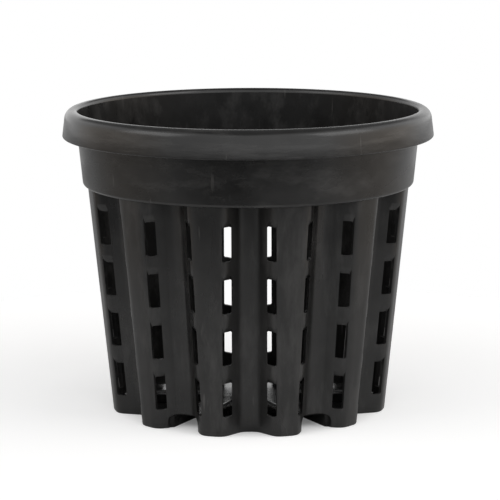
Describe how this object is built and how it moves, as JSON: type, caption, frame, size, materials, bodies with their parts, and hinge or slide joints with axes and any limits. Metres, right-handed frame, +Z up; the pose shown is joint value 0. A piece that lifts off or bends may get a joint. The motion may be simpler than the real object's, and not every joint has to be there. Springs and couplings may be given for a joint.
{
  "type": "air pruning pot",
  "caption": "Round tapered black plastic plant pot with a rolled rim, plain collar and fluted wall pierced by rows of air slots, standing on its scalloped foot between drainage arches.",
  "frame": {"origin": "centre of the foot of the wall, on the plane that the pot stands on", "axes": "+Z up along the pot's axis; -Y is the front, towards the middle of a plain groove between two lobes"},
  "size_m": [0.2906, 0.2906, 0.2375],
  "materials": {
    "rim": "satin black injection-moulded polypropylene, slightly glossy on the rounded edges",
    "collar": "satin black polypropylene with faint handling smudges",
    "flutes": "satin black polypropylene with faint flow marks and light scratches",
    "base": "satin black polypropylene"
  },
  "bodies": {
    "root": {"rim_flange": "rim", "rim_skirt": "rim", "collar_band": "collar", "shoulder_ledge": "collar", "lobe_01": "flutes", "lobe_02": "flutes", "lobe_03": "flutes", "lobe_04": "flutes", "lobe_05": "flutes", "lobe_06": "flutes", "lobe_07": "flutes", "lobe_08": "flutes", "lobe_09": "flutes", "lobe_10": "flutes", "lobe_11": "flutes", "lobe_12": "flutes", "groove_01": "flutes", "groove_02": "flutes", "groove_03": "flutes", "groove_04": "flutes", "groove_05": "flutes", "groove_06": "flutes", "groove_07": "flutes", "groove_08": "flutes", "groove_09": "flutes", "groove_10": "flutes", "groove_11": "flutes", "groove_12": "flutes", "floor_sector_1": "base", "floor_sector_2": "base", "floor_sector_3": "base", "floor_sector_4": "base", "floor_sector_5": "base", "floor_sector_6": "base", "channel_roof_1": "base", "channel_roof_2": "base", "channel_roof_3": "base", "channel_roof_4": "base", "channel_roof_5": "base", "channel_roof_6": "base", "channel_rib_01": "base", "channel_rib_02": "base", "channel_rib_03": "base", "channel_rib_04": "base", "channel_rib_05": "base", "channel_rib_06": "base", "channel_rib_07": "base", "channel_rib_08": "base", "channel_rib_09": "base", "channel_rib_10": "base", "channel_rib_11": "base", "channel_rib_12": "base", "floor_hub": "base"}
  },
  "joints": []
}
